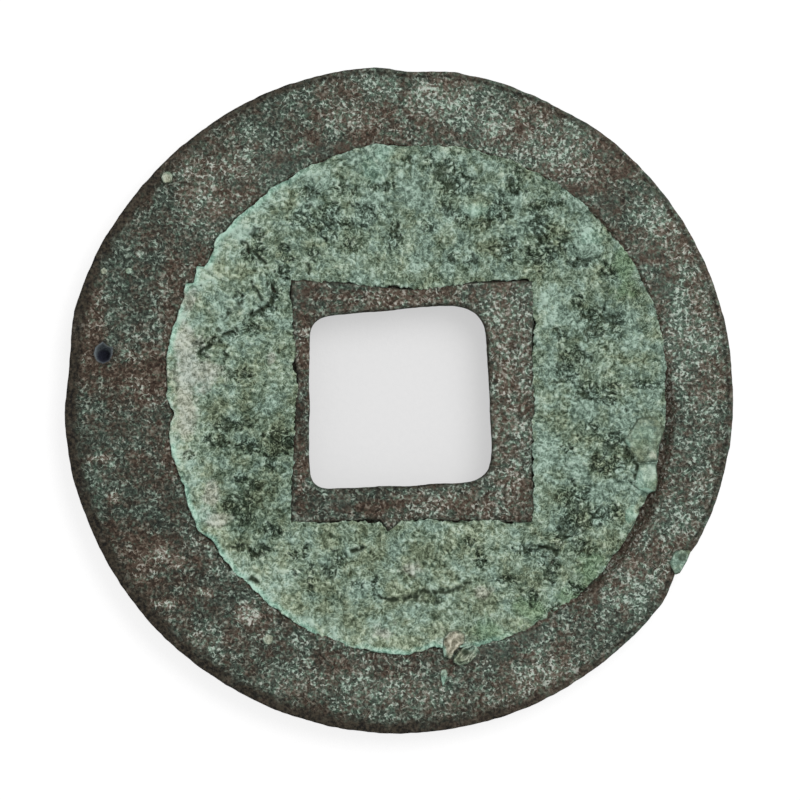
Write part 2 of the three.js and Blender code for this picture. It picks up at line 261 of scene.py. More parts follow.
class Ring:
    """A closed ring, grown loop by loop round its cross-section."""

    def __init__(self, points, outline, outside, height):
        self.bm = bmesh.new()
        self.loop = bmesh.ops.create_circle(self.bm, segments=points, radius=1)["verts"]
        self.bearings = [math.atan2(vert.co.y, vert.co.x) for vert in self.loop]
        self.first = self.loop
        self.spans = []
        self.lay(outline, outside, height)

    def lay(self, outline, outside, height):
        for vert, bearing in zip(self.loop, self.bearings):
            vert.co = outline.point(bearing, outside, height)

    def rim(self, loop):
        return [self.bm.edges.get(pair) for pair in zip(loop, loop[1:] + loop[:1])]

    def grow(self, outline, outside, height, cuts=0):
        made = bmesh.ops.extrude_edge_only(self.bm, edges=self.rim(self.loop))["geom"]
        fresh = {item for item in made if isinstance(item, bmesh.types.BMVert)}
        spans = []
        for vert in self.loop:
            spans.append(next(edge for edge in vert.link_edges if edge.other_vert(vert) in fresh))
        self.loop = [edge.other_vert(vert) for vert, edge in zip(self.loop, spans)]
        self.spans.append((spans, cuts))
        self.lay(outline, outside, height)

    def close(self, cuts=0):
        made = bmesh.ops.bridge_loops(self.bm, edges=self.rim(self.loop) + self.rim(self.first))
        for spans, count in self.spans + [(made["edges"], cuts)]:
            if count:
                bmesh.ops.subdivide_edges(self.bm, edges=spans, cuts=count, use_grid_fill=True)
        bmesh.ops.recalc_face_normals(self.bm, faces=self.bm.faces)
        self.bm.normal_update()
        return self.bm

    def cap(self):
        """Closes the top and the foot of a mound with a face each."""
        for loop in (self.loop, self.first):
            bmesh.ops.contextual_create(self.bm, geom=self.rim(loop))
        for spans, count in self.spans:
            if count:
                bmesh.ops.subdivide_edges(self.bm, edges=spans, cuts=count, use_grid_fill=True)
        bmesh.ops.triangulate(self.bm, faces=[face for face in self.bm.faces if len(face.verts) > 4])
        bmesh.ops.recalc_face_normals(self.bm, faces=self.bm.faces)
        self.bm.normal_update()
        return self.bm


def new_piece(name, bm, finish, slot, *nodes):
    """Brings a mesh down to metres and puts it in the scene in the place of CAD nodes."""
    bmesh.ops.scale(bm, vec=(MM, MM, MM), verts=bm.verts)
    for face in bm.faces:
        face.smooth = True
    triangles = sum(len(face.verts) - 2 for face in bm.faces)
    mesh = bpy.data.meshes.new(name)
    bm.to_mesh(mesh)
    bm.free()
    mesh.materials.append(finish)
    piece = bpy.data.objects.new(name, mesh)
    bpy.context.scene.collection.objects.link(piece)
    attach(piece, "root")
    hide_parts(*nodes)
    print(f"{name}: {triangles} triangles")


# %% [markdown]
# ## Carving
#
# The surface is carved in two ways. Noise in several layers gives the overall roughness: each layer has a
# pitch, the size of its lumps, and a height. Cracks and pits are then pressed in along short paths with
# `Brush`, which does what a sculpting brush does. It finds the points near each dab of the path and moves
# them by an amount that fades with distance, and where dabs overlap it keeps the deepest. Beside a crack it
# raises a low, pale lip. The same brush paints patches with ragged edges, which the finishes read later.

# %% Carving tools
PATCH_RAGGEDNESS = ((0.6, 0.6), (0.22, 0.5))
PATCH_FADE = (1.35, 0.5)
PATCH_REACH = 1.8
LIP_REACH = 2.2
LIP_HEIGHT = 0.03


def layers(place, *pairs):
    """The sum of layers of noise at a place. Each layer is a pitch and a height in millimetres."""
    total = 0.0
    for pitch, height in pairs:
        shifted = Vector((place.x + 17 * pitch, place.y - 31 * pitch, 0.35 * place.z + 9 * pitch))
        total += noise.noise(shifted / pitch) * height
    return total


class Brush:
    """Paints soft patches on the upper side of a mesh, and presses cracks and pits into it."""

    def __init__(self, bm):
        self.verts = [vert for vert in bm.verts if vert.normal.z > 0.3]
        self.tree = kdtree.KDTree(len(self.verts))
        for index, vert in enumerate(self.verts):
            self.tree.insert((vert.co.x, vert.co.y, 0), index)
        self.tree.balance()

    def paint(self, layer, patches, strength=1.0):
        """Each patch is its middle and its half sizes, in the photograph's pixels."""
        for across, down, half_width, half_height in patches:
            middle = spot(across, down, 0)
            widest = PATCH_REACH * max(half_width, half_height) / PIXELS_PER_MM
            for place, index, _ in self.tree.find_range(middle, widest):
                offset = (place - middle) * PIXELS_PER_MM
                reach = math.hypot(offset.x / half_width, offset.y / half_height)
                reach *= 1 + layers(place, *PATCH_RAGGEDNESS)
                vert = self.verts[index]
                vert[layer] = max(vert[layer], strength * soft(reach, *PATCH_FADE))

    def sink(self, lip, floor, outline, depth):
        """Sinks a hole with an outline, with a painted highlight on its rim and painted shade inside, darkest
        low down.
        """
        middle = Vector((*outline.centre, 0))
        deepest = middle + Vector((0.05, -0.4, 0)) * outline.size
        for place, index, _ in self.tree.find_range(middle, 1.5 * outline.size):
            vert = self.verts[index]
            reach = 1 + outline.beyond(place) / outline.size
            vert.co.z -= depth * soft(reach, 1.0, 0.5)
            # a pale painted highlight round the rim
            vert[lip] = soft(reach, 1.06, 0.96)
            # painted shade inside the hole, darkest towards its lower side
            crescent = soft(reach, 1.35, 1.1) * 0.5
            vert[floor] = max(vert[floor], crescent, soft((place - deepest).length / outline.size, 1.25, 0.5))

    def press(self, hollow, light, path, radius, depth):
        """Presses a crack in along a path, darkens it with painted shade, and raises pale lips beside it."""
        presses = {}
        for start, end in zip(path, path[1:] or path):
            steps = max(int((end - start).length / (radius * 0.4)), 1)
            for step in range(steps + 1):
                middle = start.lerp(end, step / steps)
                middle.z = 0
                middle += Vector((layers(middle, (0.25, 0.12)), layers(middle, (0.21, 0.12)), 0))
                width = radius * (1 + layers(middle, (0.12, 1.2)))
                for _, index, distance in self.tree.find_range(middle, LIP_REACH * width):
                    press = soft(distance, width, width * 0.3)
                    lip = soft(distance, LIP_REACH * width, 1.4 * width)
                    deepest, highest = presses.get(index, (0.0, 0.0))
                    presses[index] = (max(deepest, press), max(highest, lip))
        for index, (press, lip) in presses.items():
            vert = self.verts[index]
            press *= soft(layers(vert.co, (0.14, 1.0)), -0.6, 0.0)
            vert.co.z += LIP_HEIGHT * lip - (depth + LIP_HEIGHT) * press
            vert[hollow] = max(vert[hollow] * (1 - 0.6 * lip), press)
            vert[light] += 0.5 * lip * (1 - press)


# %% [markdown]
# ## Shader maths as plain expressions
#
# A shader is a graph of nodes, but it reads best as arithmetic. `Wire` wraps a node's output. Adding,
# multiplying or subtracting wires adds the Math node that does it. Colours and vectors go through Mix and
# Vector Math, because a Math node would turn a colour grey.

# %% A wire, and a material that wires are drawn in


class Wire:
    """The output of a node, as a value that can be used in arithmetic."""

    def __init__(self, finish, socket):
        self.finish = finish
        self.socket = socket

    def maths(self, operation, first, second):
        return self.finish.node("ShaderNodeMath", {"operation": operation}, {0: first, 1: second})

    def __add__(self, other):
        return self.maths("ADD", self, other)

    def __sub__(self, other):
        return self.maths("SUBTRACT", self, other)

    def __mul__(self, other):
        return self.maths("MULTIPLY", self, other)

    __radd__ = __add__
    __rmul__ = __mul__

    def __rsub__(self, other):
        return self.maths("SUBTRACT", other, self)


class Finish:
    """A material whose nodes are made by calls and joined by arithmetic."""

    def __init__(self, name):
        self.material = bpy.data.materials.new(name)
        self.material.use_nodes = True
        self.tree = self.material.node_tree
        self.shader = self.tree.nodes["Principled BSDF"]
        self.place = self.node("ShaderNodeTexCoord", output="Object")

    def node(self, kind, settings=None, inputs=None, output=0):
        node = self.tree.nodes.new(kind)
        for name, value in (settings or {}).items():
            setattr(node, name, value)
        for key, value in (inputs or {}).items():
            self.feed(node.inputs[key], value)
        return Wire(self, node.outputs[output])

    def feed(self, socket, value):
        if isinstance(value, Wire):
            self.tree.links.new(value.socket, socket)
        else:
            socket.default_value = value

    def noise(self, per_mm, detail=3.0, roughness=0.55, distortion=0.0):
        inputs = {
            "Vector": self.place,
            "Scale": per_mm / MM,
            "Detail": detail,
            "Roughness": roughness,
            "Distortion": distortion,
        }
        return self.node("ShaderNodeTexNoise", None, inputs)

    def painted(self, name):
        return self.node("ShaderNodeAttribute", {"attribute_name": name}, None, "Fac")

    def between(self, value, low, high):
        inputs = {"Value": value, "From Min": low, "From Max": high}
        return self.node("ShaderNodeMapRange", {"interpolation_type": "SMOOTHSTEP"}, inputs)

    def worms(self, per_mm, width, distortion=0.0):
        """Thin winding lines: where a noise passes through its middle value."""
        ridge = self.noise(per_mm, 1.5, 0.5, distortion) - 0.5
        distance = self.node("ShaderNodeMath", {"operation": "ABSOLUTE"}, {0: ridge})
        return self.between(distance, width, width * 0.25)

    def blend(self, share, first, second):
        inputs = {0: share, 6: first, 7: second}
        return self.node("ShaderNodeMix", {"data_type": "RGBA"}, inputs, 2)

    def ramp(self, value, stops):
        """A blend through several colours. Each stop is a value and the colour there, from 0 to 255."""
        wire = self.node("ShaderNodeValToRGB", None, {0: value})
        elements = wire.socket.node.color_ramp.elements
        while len(elements) < len(stops):
            elements.new(0.5)
        for element, (position, _) in zip(elements, stops):
            element.position = position
        for element, (_, colour) in zip(elements, stops):
            element.color = rgb(*colour)
        return wire

    def shades(self, value, dark, middle, pale):
        """A blend through three colours, from dark to pale."""
        return self.ramp(value, ((0.1, dark), (0.5, middle), (0.9, pale)))

    def surface(self, colour, roughness, height, depth_mm, shine=0.1):
        self.shader.inputs["Specular IOR Level"].default_value = shine
        self.feed(self.shader.inputs["Base Color"], colour)
        self.feed(self.shader.inputs["Roughness"], roughness)
        bump = self.node("ShaderNodeBump", None, {"Height": height, "Distance": depth_mm * MM})
        self.feed(self.shader.inputs["Normal"], bump)
        return self.material


def rgb(red, green, blue):
    """A colour written as 0 to 255 on a screen, as the linear numbers that a shader takes."""
    linear = []
    for part in (red, green, blue):
        share = part / 255
        linear.append(share / 12.92 if share < 0.04045 else ((share + 0.055) / 1.055) ** 2.4)
    return (*linear, 1.0)


# %% [markdown]
# ## The bronze's finish
#
# The metal's own patina is dull, browner in some places and greener in others. Pale corrosion sits on it in
# short curly specks a tenth of a millimetre wide. A texture of plain noise would give round spots. The line
# where a noise passes through its middle value winds about as the specks do, so the specks are such lines,
# broken up by another noise. Each speck stands in a dark fringe of painted shade. All of this is summed
# into one level, from dark dirt and painted shade to pale bloom, and three ramps turn the level into
# colours: a dull green, a brown where the metal has rusted or a fine tint turns it, and a clearer teal that
# breaks out in small spots.
#
# Five things are painted on the metal's points for this finish: `bloom`, how much pale corrosion a place
# carries, `rust`, how brown it is, where wear has kept the metal smooth and where painted shade darkens the
# band along the shaded side of the edge, where dirt has gathered and where painted shade darkens pits,
# corners and edges, and a pale grey painted highlight on the blowhole's lip.

# %% Patinated bronze
BRONZE_GREENS = (
    (0.0, (30, 34, 30)), (0.2, (47, 54, 47)), (0.4, (73, 84, 75)), (0.6, (101, 113, 102)),
    (0.8, (134, 148, 136)), (1.0, (176, 190, 178)),
)
BRONZE_BROWNS = (
    (0.0, (34, 26, 20)), (0.2, (59, 47, 38)), (0.4, (87, 75, 64)), (0.6, (116, 107, 96)),
    (0.8, (149, 145, 135)), (1.0, (186, 185, 176)),
)
BRONZE_TEALS = (
    (0.0, (26, 36, 28)), (0.3, (50, 70, 57)), (0.6, (90, 118, 99)), (0.8, (124, 152, 133)),
    (1.0, (162, 192, 173)),
)
BRONZE_DIRT_AND_SHADE = (rgb(14, 12, 9), rgb(62, 56, 45))
LIP_HIGHLIGHT_TONES = (rgb(112, 124, 128), rgb(166, 178, 180))
BLOWHOLE_SHADE = rgb(34, 36, 48)
BRONZE_PAINT = ("bloom", "rust", "bare", "hollow", "slate")


def patinated_bronze():
    finish = Finish("patinated_bronze")
    bloom, rust, bare, hollow, slate = map(finish.painted, BRONZE_PAINT)
    patches = finish.noise(1.4, 4.0, 0.6)
    blotches = finish.noise(3.2, 3.0, 0.6)
    grain = finish.noise(9.0, 1.5, 0.6)
    curls = finish.worms(4.5, 0.14, 0.7)
    # painted shade: a dark fringe round each pale speck
    fringe = finish.worms(4.5, 0.28, 0.7) * (1 - curls)
    threads = finish.worms(9.5, 0.12, 0.5)
    broken = finish.between(finish.noise(7.5, 1.0, 0.5), 0.42, 0.6)
    cluster = finish.between(patches, 0.4, 0.6)
    level = grain * 0.75 + blotches * 0.45 + patches * 0.22 + bloom * 0.5 - 0.53
    vigour = bloom * 0.5 + cluster * 0.5 + 0.52
    level = level + vigour * (curls * broken * 0.42 + threads * 0.14 - fringe * 0.17)
    # worn places are smooth and dark; along the shaded side of the edge this darkening is painted shade
    level = level * (1 - bare * 0.8) + (grain * 0.4 + 0.04) * bare * 0.8
    green = finish.ramp(level, BRONZE_GREENS)
    brown = finish.ramp(level, BRONZE_BROWNS)
    tint = finish.noise(6.0, 2.0, 0.7)
    red = finish.noise(2.6, 5.0, 0.75) * 0.7 + rust * 0.22 - patches * 0.5 - tint * 0.3
    colour = finish.blend(finish.between(red, -0.13, 0.19), green, brown)
    teal = finish.between(tint + blotches * 0.4 + bloom * 0.15, 0.72, 0.92)
    colour = finish.blend(teal * 0.5, colour, finish.ramp(level, BRONZE_TEALS))
    # a pale grey painted highlight on the blowhole's lip
    colour = finish.blend(slate, colour, finish.blend(grain, *LIP_HIGHLIGHT_TONES))
    # dirt and painted shade darken the hollows; the painted shade inside the blowhole is bluish
    dirt_and_shade_tone = finish.blend(finish.between(grain, 0.3, 0.7), *BRONZE_DIRT_AND_SHADE)
    dirt_and_shade_tone = finish.blend(slate, dirt_and_shade_tone, BLOWHOLE_SHADE)
    colour = finish.blend(hollow, colour, dirt_and_shade_tone)
    return finish.surface(colour, 0.84 - bare * 0.25, level, 0.04, 0.2)


# %% [markdown]
# ## The crust's finish
#
# The green crust is powdery copper carbonate. It is turquoise where it is fresh, at its broken edges, olive
# and cream where soil is caught in it, and nearly black with painted shade in the crevices. The carving
# stores how hollow each point is, so the crevices that are dark are the crevices that are deep. Its other
# layers say how crumbly, light, cool, chalky, fresh or vividly green a place is, and paint the high crumbs
# paler and the creases darker, as painted light and shade. Round each pale curl runs a dark fringe of
# painted shade, darker still where the crust is crumbly.
#
# As on the bronze, one level runs from dark to pale, and each tint has a ramp of its own. The nodules are
# made of the same crust, only denser: their finish has less contrast, and its chalk is tan where the
# crust's is pink.

# %% Verdigris crust
CRUST_PAINT = ("hollow", "crumbly", "light", "relief", "cool", "cream", "turquoise", "vivid")
CRUST_GREENS = (
    (0.05, (44, 56, 43)), (0.26, (76, 92, 75)), (0.42, (102, 118, 100)), (0.58, (126, 144, 125)),
    (0.74, (149, 168, 148)), (0.95, (182, 199, 182)),
)
NODULE_GREENS = ((0.1, (60, 70, 58)), (0.5, (114, 130, 112)), (0.9, (168, 184, 164)))
BLUE_GREENS = ((48, 61, 55), (106, 129, 118), (162, 189, 176))
OLIVE_GREENS = ((50, 52, 36), (120, 129, 100), (180, 188, 158))
LEAF_GREENS = ((44, 62, 42), (88, 114, 82), (136, 164, 127))
TURQUOISES = ((72, 104, 92), (128, 165, 147), (178, 211, 194))
PINK_CHALK = ((84, 81, 72), (152, 149, 141), (206, 199, 193))
TAN_CHALK = ((82, 77, 62), (150, 146, 128), (204, 199, 181))
CREVICE_SHADE = (rgb(33, 41, 31), rgb(74, 85, 68))


def verdigris(name, greens, chalks, contrast=1.0):
    finish = Finish(name)
    hollow, crumbly, light, relief, cool, cream, turquoise, vivid = map(finish.painted, CRUST_PAINT)
    grain = finish.noise(10.0, 2.0, 0.65)
    tuft = finish.noise(4.2, 3.0, 0.6)
    zone = finish.noise(1.2, 3.0, 0.6)
    curls = finish.worms(5.5, 0.09, 0.7)
    # painted shade: a dark fringe round each pale curl
    fringe = finish.worms(5.5, 0.22, 0.7) * (1 - curls)
    threads = finish.worms(9.5, 0.1, 0.5)
    level = grain * 0.72 + tuft * 0.5 + zone * 0.6 + relief * 0.5 - 0.73
    level = level + curls * 0.2 - fringe * 0.16 + threads * 0.07 + light * 0.16
    # on crumbly ground the fringes get darker, as painted shade between the crumbs
    level = level + crumbly * (curls * 0.1 - fringe * 0.22)
    level = level * contrast + (1 - contrast) * 0.5
    hue = finish.noise(1.2, 3.0, 0.6) * 0.8 + finish.noise(7.0, 2.0, 0.7) * 0.2 + cool * 0.06
    colour = finish.ramp(level, greens)
    colour = finish.blend(finish.between(hue, 0.49, 0.6) * 0.6, colour, finish.shades(level, *BLUE_GREENS))
    colour = finish.blend(finish.between(hue, 0.49, 0.38) * 0.5, colour, finish.shades(level, *OLIVE_GREENS))
    for share, shades in ((cream, chalks), (vivid, LEAF_GREENS), (turquoise, TURQUOISES)):
        colour = finish.blend(share, colour, finish.shades(level, *shades))
    # crevices and creases darkened with painted shade
    colour = finish.blend(hollow, colour, finish.blend(grain, *CREVICE_SHADE))
    height = grain * 0.6 + tuft * 0.5
    return finish.surface(colour, 0.95, height, 0.05)


bronze = patinated_bronze()
crust_green = verdigris("verdigris_crust", CRUST_GREENS, PINK_CHALK)
nodule_green = verdigris("verdigris_nodule", NODULE_GREENS, TAN_CHALK, 0.75)

# %% [markdown]
# ## The casting
#
# The bronze was cast in one pour in a two-part mould, so its reverse, edge, obverse and hole are one skin.
# The section below goes once round that skin. It starts in the hole, crosses the reverse to the edge of the
# coin, comes back under the obverse, and is closed up the wall of the hole. Its corners are worn round.

# %% Section of the casting
INNER_RIM_TOP = RIM_TOP - 0.04
HOLE_ROUNDING = 0.12
ARRIS = 0.18
ARRIS_STEPS = 4
CASTING_POINTS = 800
EDGE_FALL = 0.07
EDGE_FALL_WIDTH = 0.8
FIELD_SLOPE = 0.24
OBVERSE_FIELD_RADIUS = 9.65
OBVERSE_FIELD_DEPTH = 0.28
OBVERSE_INNER_RIM_WIDTH = 0.6
OBVERSE_INNER_RIM_DROP = 0.04

OBVERSE_FIELD = Outline((0, 0), OBVERSE_FIELD_RADIUS, lambda bearing: OBVERSE_FIELD_RADIUS)
arris_angles = [math.pi / 2 * step / ARRIS_STEPS for step in range(ARRIS_STEPS + 1)]

casting = Ring(CASTING_POINTS, HOLE, 0, INNER_RIM_TOP - HOLE_ROUNDING)
casting.grow(HOLE, 0.3 * HOLE_ROUNDING, INNER_RIM_TOP - 0.3 * HOLE_ROUNDING, 1)
casting.grow(HOLE, HOLE_ROUNDING, INNER_RIM_TOP, 1)
casting.grow(INNER_RIM, -0.08, INNER_RIM_TOP, 14)
casting.grow(INNER_RIM, 0, INNER_RIM_TOP - 0.06)
casting.grow(INNER_RIM, 0.05, FIELD_FLOOR, 1)
casting.grow(FIELD, -FIELD_SLOPE, FIELD_FLOOR, 2)
casting.grow(FIELD, 0, RIM_TOP - 0.04, 3)
casting.grow(FIELD, 0.05, RIM_TOP, 1)
casting.grow(COIN, -EDGE_FALL_WIDTH, RIM_TOP, 26)
casting.grow(COIN, -ARRIS, RIM_TOP - EDGE_FALL, 8)
for angle in arris_angles[1:]:
    fall = EDGE_FALL + (ARRIS - EDGE_FALL) * (1 - math.cos(angle))
    casting.grow(COIN, ARRIS * (math.sin(angle) - 1), RIM_TOP - fall)
casting.grow(COIN, 0, ARRIS, 8)
for angle in arris_angles[1:]:
    casting.grow(COIN, ARRIS * (math.cos(angle) - 1), ARRIS * (1 - math.sin(angle)))
casting.grow(OBVERSE_FIELD, 0, 0, 12)
casting.grow(OBVERSE_FIELD, -FIELD_SLOPE, OBVERSE_FIELD_DEPTH, 2)
casting.grow(HOLE, OBVERSE_INNER_RIM_WIDTH + 0.04, OBVERSE_FIELD_DEPTH, 2)
casting.grow(HOLE, OBVERSE_INNER_RIM_WIDTH - 0.04, OBVERSE_INNER_RIM_DROP, 1)
casting.grow(HOLE, HOLE_ROUNDING, OBVERSE_INNER_RIM_DROP, 4)
casting.grow(HOLE, 0, OBVERSE_INNER_RIM_DROP + HOLE_ROUNDING, 1)
bm = casting.close(7)

# %% [markdown]
# A bubble of gas left a blowhole in the west of the rim. Its outline is traced, and so are the places where
# the metal is bare, brown or in bloom.

# %% Patches of the casting
BLOWHOLE_CORNERS = (
    (94, 354), (95.5, 347.5), (99, 344.5), (102.7, 342), (107, 346), (112.5, 347.5), (112, 355), (109, 361),
    (103, 363.5), (97, 361),
)
BLOWHOLE = traced(*BLOWHOLE_CORNERS)
BLOWHOLE_DEPTH = 0.42
BARE_PATCHES = (
    (602, 152, 12, 10), (625, 167, 15, 12), (576, 190, 24, 9), (602, 208, 14, 12), (648, 256, 20, 17),
    (665, 285, 12, 16), (495, 285, 13, 7), (478, 292, 10, 8), (302, 295, 10, 16), (335, 150, 26, 6),
    (276, 165, 22, 14), (232, 188, 10, 6), (595, 585, 7, 20), (525, 636, 18, 6), (500, 652, 26, 8),
    (340, 504, 10, 9),
)
RUST_PATCHES = (
    (600, 148, 14, 12), (628, 168, 18, 14), (495, 284, 16, 8), (380, 298, 70, 10), (440, 290, 30, 10),
    (304, 340, 6, 40), (302, 470, 6, 24), (515, 486, 16, 18), (450, 505, 40, 7), (370, 507, 24, 7),
    (150, 555, 26, 24), (90, 330, 16, 40), (150, 380, 20, 30), (505, 380, 8, 24),
)
BLOOM_PATCHES = (
    (655, 216, 16, 16), (565, 150, 34, 26), (490, 118, 34, 12), (540, 138, 14, 10), (690, 330, 22, 36),
    (505, 320, 26, 34), (516, 355, 8, 8), (520, 430, 8, 10), (640, 590, 30, 24), (682, 524, 12, 18),
    (622, 568, 14, 8), (560, 680, 50, 20), (240, 165, 30, 16), (200, 210, 30, 30), (410, 690, 60, 14),
    (300, 680, 40, 14), (382, 88, 26, 10), (440, 100, 40, 16), (350, 120, 30, 10), (190, 165, 16, 16),
    (205, 640, 26, 14),
)
PALE_FLECKS = (
    (97, 459, 9, 3), (113, 499, 6, 6), (160, 553, 10, 6), (180, 562, 8, 6), (143, 580, 6, 4),
    (161, 604, 10, 4), (202, 592, 7, 4), (250, 616, 14, 10), (262, 590, 8, 5),
)
TEAL_TUFTS = ((455, 104, 9, 8), (497, 128, 12, 10), (421, 88, 8, 6))

# %% [markdown]
# The faces are worn and pitted. The upper side gets gentle hills, pits and grains. Painted shade darkens its
# pits, its corners, the hole's edge, the field, the edge on the shaded side and the arris away from the
# light, and a thin dark line runs round the edge. The side and the underside were rubbed by hands and other
# coins, so they are smoother. The mesh is made finer round the blowhole before it is sunk, because its wall
# is steep.

# %% Relief of the casting
BLOWHOLE_SURROUND = 0.6
RIM_ROUGHNESS = ((3.1, 0.03), (0.9, 0.025), (0.3, 0.02), (0.16, 0.012))
RIM_PITS = ((0.34, 1.0), (0.17, 0.5))
PIT_DEPTH = 0.03
SIDE_ROUGHNESS = ((1.3, 0.015), (0.4, 0.015), (0.17, 0.012))
SIDE_WEAR = 0.03
SHADED_BEARING = 215
BLOOMING_BEARING = 18
LIT_EDGE_BEARING = 20
WEST = 180

blowhole_middle = Vector((*BLOWHOLE.centre, RIM_TOP))
near_blowhole = [
    face for face in bm.faces if (face.calc_center_median() - blowhole_middle).length < BLOWHOLE_SURROUND
]
blowhole_edges = list({edge for face in near_blowhole for edge in face.edges})
bmesh.ops.subdivide_edges(bm, edges=blowhole_edges, cuts=2, use_grid_fill=True)
bm.normal_update()
bloom, rust, bare, hollow, slate = map(bm.verts.layers.float.new, BRONZE_PAINT)
brush = Brush(bm)
brush.paint(bare, BARE_PATCHES, 0.55)
brush.paint(rust, RUST_PATCHES, 0.7)
brush.paint(bloom, BLOOM_PATCHES, 0.22)
brush.paint(bloom, PALE_FLECKS + TEAL_TUFTS, 0.5)
brush.paint(rust, PALE_FLECKS)
for vert in bm.verts:
    place = vert.co.copy()
    bearing = math.atan2(place.y, place.x)
    from_edge = -COIN.beyond(place)
    if vert.normal.z > 0.6:
        lift = layers(place, *RIM_ROUGHNESS) * (1 - 0.6 * vert[bare])
        pit = soft(layers(place, *RIM_PITS), 0.45, 0.8) * (1 - vert[bare])
        lift -= PIT_DEPTH * pit
        # pits are darkened with painted shade
        vert[hollow] = 0.5 * pit
    else:
        lift = layers(place, *SIDE_ROUGHNESS) - SIDE_WEAR
    vert.co += vert.normal * lift
    vert.co.z = max(vert.co.z, 0.0)
    blooming = soft(turned(bearing, BLOOMING_BEARING), 175, 30)
    vert[bloom] += 0.08 + 0.25 * blooming + layers(place, (3.4, 0.12), (1.2, 0.12))
    vert[rust] += layers(place, (2.3, 0.7)) + 0.25
    vert[rust] += 0.8 * soft(from_edge, 0.4, 0.15) * soft(turned(bearing, SHADED_BEARING), 120, 60)
    if vert.normal.z < -0.5:
        vert[bloom] = 0.25 + layers(place, (2.6, 0.2), (1.0, 0.15))
    shaded_side = soft(turned(bearing, SHADED_BEARING), 120, 50)
    # the worn band along the edge widens on the shaded side, where its darkening is painted shade
    edge_wear_and_shade = soft(from_edge, 0.16 + 0.4 * shaded_side, 0.08 + 0.1 * shaded_side)
    vert[bare] = min(max(0.6 * edge_wear_and_shade, vert[bare]) * (1 + layers(place, (0.4, 0.7))), 1.0)
    if vert.normal.z > 0.2:
        offset = place.xy - INNER_RIM.centre
        west = soft(turned(math.atan2(offset.y, offset.x), WEST), 50, 40)
        foot = abs(INNER_RIM.beyond(place))
        hole_edge = soft(HOLE.beyond(place), 0.2, 0.05) * soft(turned(bearing, WEST), 45, 70)
        in_field = soft(FIELD.beyond(place), 0.1, -0.05) * soft(INNER_RIM.beyond(place), 0.1, 0.4)
        vert[rust] += 0.8 * in_field
        # painted shade at the inner rim's foot (most on its west), at the hole's edge away from the west, in
        # the field, along the edge on the shaded side and on the arris away from the light; and a thin dark
        # line round the edge
        shade_and_edge_line = max(
            0.5 * west * soft(foot, 0.2, 0.06),
            0.6 * soft(foot, 0.14, 0.03),
            0.7 * hole_edge,
            0.35 * in_field,
            0.95 * shaded_side * soft(from_edge, 0.7, 0.25),
            0.75 * soft(abs(from_edge - 0.19), 0.1, 0.03),
            soft(turned(bearing, LIT_EDGE_BEARING), 60, 100) * soft(from_edge, 0.17, 0.05),
        )
        vert[hollow] = max(vert[hollow], shade_and_edge_line * (1 + layers(place, (0.3, 0.6))))

brush.sink(slate, hollow, BLOWHOLE, BLOWHOLE_DEPTH)
new_piece("coin_casting", bm, bronze, "patinated_bronze", "casting")

# %% [markdown]
# ## The crust in the reverse field
#
# Corrosion has filled the sunk field almost to the level of the rims. Where the field's edge faces away
# from the light the crust stops short of it and the bare brown wall shows. Everywhere else it climbs the
# wall, laps a little way over the rim, and ends in a ragged edge.

# %% Outlines of the reverse crust
CRUST_RADIUS = 9.2
CRUST_STEPS = (
    (99.0, 3.0, 0.06), (128.0, 5.0, -0.06), (141.0, 3.0, 0.06), (183.5, 2.0, -0.06), (274.0, 2.0, -0.08),
)
CRUST_EDGE_WANDER = ((1.3, 0.08), (0.5, 0.06), (0.24, 0.04), (0.1, 0.03))
CRUST_INNER_WANDER = ((1.2, 0.14), (0.45, 0.1), (0.18, 0.1), (0.1, 0.06))


def crust_reach(bearing):
    reach = along(FIELD_MARKS, bearing)
    for middle, width, step in CRUST_STEPS:
        reach += step * soft(turned(bearing, middle), width, 0)
    return reach + ragged(bearing, CRUST_RADIUS, CRUST_EDGE_WANDER)


def crust_inner_reach(bearing):
    return inner_rim_reach(bearing) - 0.03 + ragged(bearing, INNER_RIM_SIZE, CRUST_INNER_WANDER)


def crust_foot_reach(bearing):
    return min(crust_reach(bearing), field_reach(bearing) - FIELD_SLOPE) - 0.03


CRUST = Outline(FIELD_CENTRE, CRUST_RADIUS, crust_reach)
CRUST_INNER = Outline(INNER_RIM_CENTRE, INNER_RIM_SIZE, crust_inner_reach)
CRUST_FOOT = Outline(FIELD_CENTRE, CRUST_RADIUS, crust_foot_reach)
CRUST_LEVEL = RIM_TOP - 0.11
CRUST_POINTS = 1080

crust = Ring(CRUST_POINTS, CRUST_INNER, 0, CRUST_LEVEL)
crust.grow(CRUST, 0, CRUST_LEVEL, 84)
crust.grow(CRUST, -0.02, CRUST_LEVEL - 0.04)
crust.grow(CRUST_FOOT, 0, FIELD_FLOOR)
crust.grow(CRUST_INNER, 0.08, FIELD_FLOOR, 1)
bm = crust.close(1)

# %% [markdown]
# The crust's top is spongy: rounded crumbs a few tenths of a millimetre across, with sharp creases between
# them. Taking the absolute value of a noise gives just that, because each place where the noise changes its
# sign becomes a crease. In the dark patches listed here the crumbs stand far apart: the ground is painted
# crumbly, and narrow crevices open in it. The other patches are pale, chalky, fresh or vividly green.

